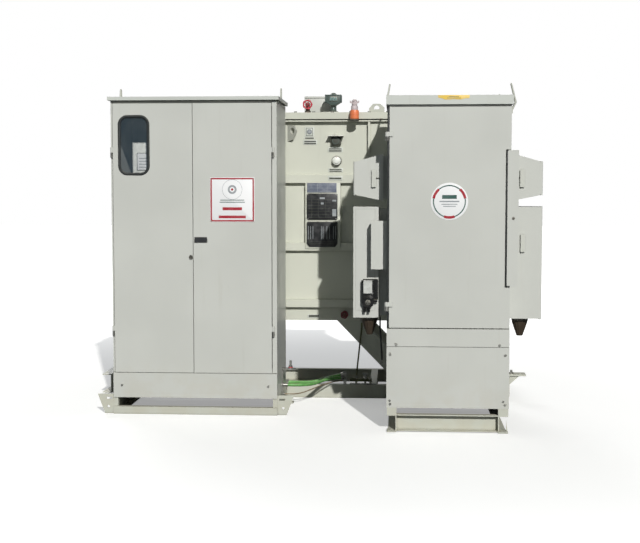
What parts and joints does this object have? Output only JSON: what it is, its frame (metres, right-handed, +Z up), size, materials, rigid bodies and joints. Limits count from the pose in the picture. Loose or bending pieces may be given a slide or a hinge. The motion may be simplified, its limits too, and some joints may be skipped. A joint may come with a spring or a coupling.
{
  "type": "skid-mounted unit substation transformer",
  "caption": "Oil-filled distribution transformer on a steel skid between a medium-voltage switchgear cubicle and a low-voltage cabinet with side boxes.",
  "frame": {"origin": "on the ground, at the middle of the footprint", "axes": "+X to the right seen from the cabinet doors, +Y to the back where the radiators are, +Z up"},
  "size_m": [3.13, 2.35, 2.251],
  "materials": {
    "cabinet_paint": "semi-gloss pale grey polyester powder coat",
    "roof_paint": "semi-gloss grey paint, slightly weathered",
    "tank_paint": "semi-gloss warm grey paint",
    "skid_paint": "semi-gloss grey paint over galvanised steel, dusty",
    "lifting_steel": "painted plate and round bar",
    "zinc_hardware": "zinc plated",
    "lock_steel": "dull nickel",
    "handle_black": "black glass-filled nylon",
    "handle_grey": "grey coated die-cast lever",
    "window_glass": "clear laminated glass",
    "gasket_rubber": "nitrile cork rubber",
    "boot_rubber": "heat-shrink and rubber, dusty brown black",
    "core_steel": "stacked silicon steel laminations",
    "copper": "bare copper",
    "coil_paper": "kraft paper wrapped conductor",
    "switchgear_grey": "light grey powder coat",
    "dial_plastic": "black moulded plastic",
    "breaker_plastic": "dark grey moulded thermoset",
    "zinc_plate": "galvanised sheet",
    "socket_black": "black moulded plastic",
    "lid_grey": "pale moulded lid",
    "plate_black": "black anodised plate",
    "gauge_grey": "dark grey green cast housing",
    "valve_metal": "enamelled bronze valve bodies",
    "wheel_red": "red enamel",
    "relief_cap_metal": "cast aluminium",
    "knob_white": "white moulded knob",
    "cable_green": "green PVC sheath",
    "cable_brown": "brown PVC sheath",
    "cable_olive": "dark olive PVC sheath, dusty",
    "cable_black": "black PVC sheath"
  },
  "bodies": {
    "root": {"mv_shell": "cabinet_paint", "lv_shell": "cabinet_paint", "plinth_panels": "cabinet_paint", "side_boxes": "cabinet_paint", "aux_box": "cabinet_paint", "mv_roof": "roof_paint", "lv_roof": "roof_paint", "tank_shell": "tank_paint", "tank_cover": "tank_paint", "bus_ducts": "tank_paint", "radiators": "tank_paint", "skid_rails": "skid_paint", "skid_cross_members": "skid_paint", "base_frames": "skid_paint", "tank_stand": "skid_paint", "lifting_lugs": "lifting_steel", "bolts": "zinc_hardware", "hinges": "zinc_hardware", "earth_terminals": "zinc_hardware", "cover_gasket": "gasket_rubber", "cable_boots": "boot_rubber", "core": "core_steel", "busbars": "copper", "lv_windings": "coil_paper", "hv_windings": "coil_paper", "ring_main_unit": "switchgear_grey", "breakers": "breaker_plastic", "lv_mounting_plate": "zinc_plate", "socket_body": "socket_black", "rating_plates": "plate_black", "protection_gauges": "gauge_grey", "valve_bodies": "valve_metal", "earth_cable": "cable_green", "earth_cable_rear": "cable_green", "earth_lead": "cable_brown", "drop_cable": "cable_olive", "control_cable": "cable_black"},
    "mv_door_left": {"mv_door_left": "cabinet_paint", "window_glass": "window_glass"},
    "mv_lock": {"mv_lock": "lock_steel"},
    "mv_door_right": {"mv_door_right": "cabinet_paint"},
    "mv_handle": {"mv_handle": "handle_black"},
    "lv_door": {"lv_door": "cabinet_paint"},
    "lv_lock": {"lv_lock": "lock_steel"},
    "left_hood_door": {"left_hood_door": "cabinet_paint"},
    "right_hood_door": {"right_hood_door": "cabinet_paint"},
    "right_box_door": {"right_box_door": "cabinet_paint"},
    "left_hood_handle": {"left_hood_handle": "handle_grey"},
    "right_hood_handle": {"right_hood_handle": "handle_grey"},
    "right_box_handle": {"right_box_handle": "handle_grey"},
    "switch_dial_a": {"switch_dial_a": "dial_plastic"},
    "switch_dial_b": {"switch_dial_b": "dial_plastic"},
    "main_breaker_lever": {"main_breaker_lever": "dial_plastic"},
    "feeder_lever_a": {"feeder_lever_a": "dial_plastic"},
    "feeder_lever_b": {"feeder_lever_b": "dial_plastic"},
    "socket_lid": {"socket_lid": "lid_grey"},
    "fill_valve_wheel": {"fill_valve_wheel": "wheel_red"},
    "drain_valve_wheel": {"drain_valve_wheel": "wheel_red"},
    "relief_valve_cap": {"relief_valve_cap": "relief_cap_metal"},
    "tap_changer_knob": {"tap_changer_knob": "knob_white"}
  },
  "joints": [
    {"name": "mv_left_door_hinge", "type": "hinge", "parent": "root", "child": "mv_door_left", "pos_m": [-1.313, -0.664, 1.18], "axis": [0, 0, -1], "range_deg": [0, 110]},
    {"name": "mv_right_door_hinge", "type": "hinge", "parent": "root", "child": "mv_door_right", "pos_m": [-0.211, -0.664, 1.18], "axis": [0, 0, 1], "range_deg": [0, 110]},
    {"name": "mv_lock_turn", "type": "hinge", "parent": "mv_door_left", "child": "mv_lock", "pos_m": [-0.772, -0.66, 1.082], "axis": [0, -1, 0], "range_deg": [0, 90]},
    {"name": "mv_handle_lift", "type": "hinge", "parent": "mv_door_right", "child": "mv_handle", "pos_m": [-0.706, -0.66, 1.213], "axis": [-1, 0, 0], "range_deg": [0, 50]},
    {"name": "lv_door_hinge", "type": "hinge", "parent": "root", "child": "lv_door", "pos_m": [0.558, -1.16, 1.336], "axis": [0, 0, -1], "range_deg": [0, 110]},
    {"name": "lv_lock_turn", "type": "hinge", "parent": "root", "child": "lv_lock", "pos_m": [1.349, -1.156, 1.361], "axis": [0, -1, 0], "range_deg": [0, 90]},
    {"name": "left_hood_hinge", "type": "hinge", "parent": "root", "child": "left_hood_door", "pos_m": [0.349, -0.941, 1.612], "axis": [0, 0, -1], "range_deg": [0, 100]},
    {"name": "right_hood_hinge", "type": "hinge", "parent": "root", "child": "right_hood_door", "pos_m": [1.545, -0.941, 1.612], "axis": [0, 0, 1], "range_deg": [0, 100]},
    {"name": "right_box_hinge", "type": "hinge", "parent": "root", "child": "right_box_door", "pos_m": [1.545, -0.941, 1.068], "axis": [0, 0, 1], "range_deg": [0, 100]},
    {"name": "left_hood_handle_turn", "type": "hinge", "parent": "left_hood_door", "child": "left_hood_handle", "pos_m": [0.472, -0.95, 1.654], "axis": [0, -1, 0], "range_deg": [-90, 0]},
    {"name": "right_hood_handle_turn", "type": "hinge", "parent": "right_hood_door", "child": "right_hood_handle", "pos_m": [1.422, -0.95, 1.654], "axis": [0, -1, 0], "range_deg": [0, 90]},
    {"name": "right_box_handle_turn", "type": "hinge", "parent": "right_box_door", "child": "right_box_handle", "pos_m": [1.429, -0.95, 1.238], "axis": [0, -1, 0], "range_deg": [0, 90]},
    {"name": "switch_dial_a_turn", "type": "hinge", "parent": "root", "child": "switch_dial_a", "pos_m": [-1.01, -0.5, 1.26], "axis": [0, -1, 0], "range_deg": [-90, 90]},
    {"name": "switch_dial_b_turn", "type": "hinge", "parent": "root", "child": "switch_dial_b", "pos_m": [-0.53, -0.5, 1.26], "axis": [0, -1, 0], "range_deg": [-90, 90]},
    {"name": "main_breaker_throw", "type": "hinge", "parent": "root", "child": "main_breaker_lever", "pos_m": [0.95, -0.394, 1.71], "axis": [1, 0, 0], "range_deg": [-38, 38]},
    {"name": "feeder_a_throw", "type": "hinge", "parent": "root", "child": "feeder_lever_a", "pos_m": [0.775, -0.394, 1.18], "axis": [1, 0, 0], "range_deg": [-38, 38]},
    {"name": "feeder_b_throw", "type": "hinge", "parent": "root", "child": "feeder_lever_b", "pos_m": [1.035, -0.394, 1.18], "axis": [1, 0, 0], "range_deg": [-38, 38]},
    {"name": "socket_lid_lift", "type": "hinge", "parent": "root", "child": "socket_lid", "pos_m": [0.436, -0.996, 0.95], "axis": [-1, 0, 0], "range_deg": [0, 110]},
    {"name": "fill_valve_turn", "type": "hinge", "parent": "root", "child": "fill_valve_wheel", "pos_m": [-0.038, 0.125, 2.162], "axis": [0, -1, 0], "continuous": true},
    {"name": "drain_valve_turn", "type": "hinge", "parent": "root", "child": "drain_valve_wheel", "pos_m": [0.24, 0.02, 0.622], "axis": [0, -1, 0], "continuous": true},
    {"name": "relief_cap_turn", "type": "hinge", "parent": "root", "child": "relief_valve_cap", "pos_m": [0.312, -0.005, 2.16], "axis": [0, 0, 1], "range_deg": [0, 180]},
    {"name": "tap_changer_turn", "type": "hinge", "parent": "root", "child": "tap_changer_knob", "pos_m": [0.179, 0.066, 1.748], "axis": [0, -1, 0], "range_deg": [-60, 60]}
  ]
}
